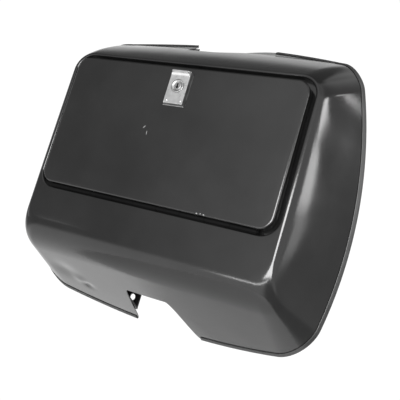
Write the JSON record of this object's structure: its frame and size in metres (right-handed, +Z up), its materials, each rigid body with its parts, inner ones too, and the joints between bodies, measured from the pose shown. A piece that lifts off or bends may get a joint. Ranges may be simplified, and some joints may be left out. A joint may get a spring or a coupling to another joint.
{
  "type": "scooter leg-shield hard case",
  "caption": "Black pressed-steel hard case with flared walls, an open back with notches in its rim, fixing tabs, and a lockable door that drops down on a piano hinge.",
  "frame": {"origin": "midway between the two lower fixing holes, on the rear face of their tabs", "axes": "+X to the right as the rider faces the door, +Y towards the leg shield, +Z up"},
  "size_m": [0.4072, 0.1528, 0.3573],
  "materials": {
    "painted_steel": "semi-gloss black paint",
    "door_paint": "semi-gloss black paint",
    "edge_rubber": "matt black rubber",
    "zinc_steel": "zinc-plated steel",
    "polished_lock": "bright plated, lightly worn",
    "lock_metal": "turned, nickel plated"
  },
  "bodies": {
    "body": {"shell": "painted_steel", "rim_trim_left": "edge_rubber", "rim_trim_right": "edge_rubber", "opening_frame": "painted_steel", "door_seal": "edge_rubber", "hinge_frame_leaf": "painted_steel", "hinge_frame_rivets": "zinc_steel", "hinge_pin": "painted_steel", "strike_plate": "zinc_steel", "strike_rivets": "zinc_steel", "lower_tab_left": "painted_steel", "lower_tab_right": "painted_steel", "upper_tab_left": "painted_steel", "upper_tab_right": "painted_steel"},
    "door": {"door_skin": "door_paint", "door_inner": "door_paint", "hinge_door_leaf": "door_paint", "hinge_door_rivets": "zinc_steel", "lock_gasket": "edge_rubber", "lock_plate": "polished_lock", "lock_plate_rivets": "polished_lock", "lock_barrel": "lock_metal", "lock_washer": "zinc_steel", "lock_nut": "zinc_steel"},
    "lock": {"lock_plug": "lock_metal", "lock_cam": "zinc_steel", "cam_washer": "zinc_steel", "cam_screw": "zinc_steel"}
  },
  "joints": [
    {"name": "door_hinge", "type": "hinge", "parent": "body", "child": "door", "pos_m": [0.004, -0.1155, 0.1005], "axis": [1, 0, 0], "range_deg": [0, 100]},
    {"name": "key_turn", "type": "hinge", "parent": "door", "child": "lock", "pos_m": [0.004, -0.12, 0.2365], "axis": [0, 1, 0], "range_deg": [0, 90]}
  ]
}
